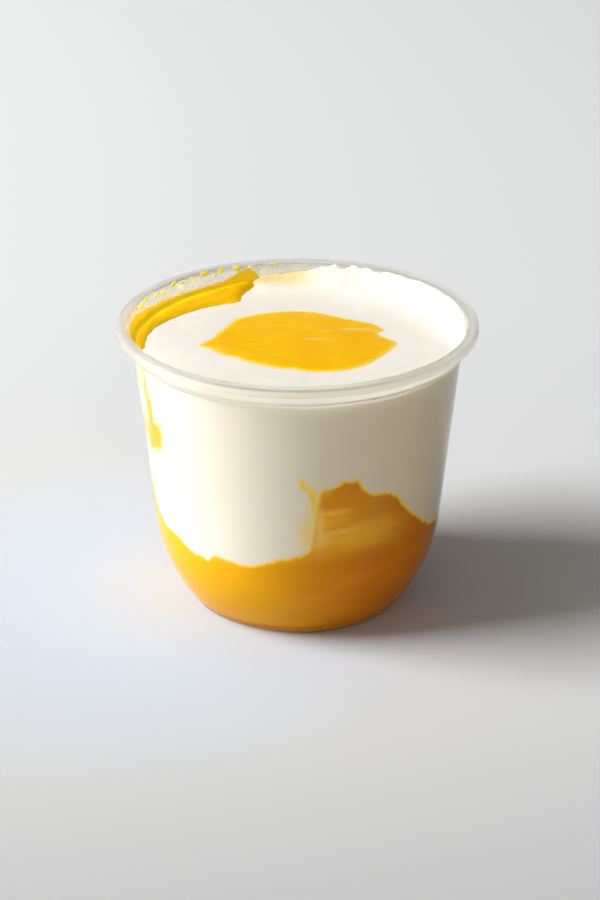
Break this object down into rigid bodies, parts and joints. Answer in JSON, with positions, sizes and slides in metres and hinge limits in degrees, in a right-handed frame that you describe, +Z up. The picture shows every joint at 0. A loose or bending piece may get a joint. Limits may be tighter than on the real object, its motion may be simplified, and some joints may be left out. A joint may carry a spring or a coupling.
{
  "type": "yogurt pot",
  "caption": "Round clear plastic dessert pot with a belly and a ledge under its rim, filled with white yogurt over a layer of yellow fruit puree, with puree on top.",
  "frame": {"origin": "middle of the ring that the pot stands on", "axes": "+Z up along the cup's axis; -Y is the front, from where the puree's tongue shows at the right and the ribbon lies at the back left"},
  "size_m": [0.095, 0.095, 0.0776],
  "materials": {
    "clear_plastic": "clear polypropylene, glossy, very slightly milky",
    "puree": "smooth yellow mango puree, wet and glossy",
    "yogurt": "creamy white yogurt, soft wet sheen"
  },
  "bodies": {
    "root": {"cup": "clear_plastic", "puree_layer": "puree", "yogurt": "yogurt", "puree_pool": "puree", "puree_ribbon": "puree"}
  },
  "joints": []
}
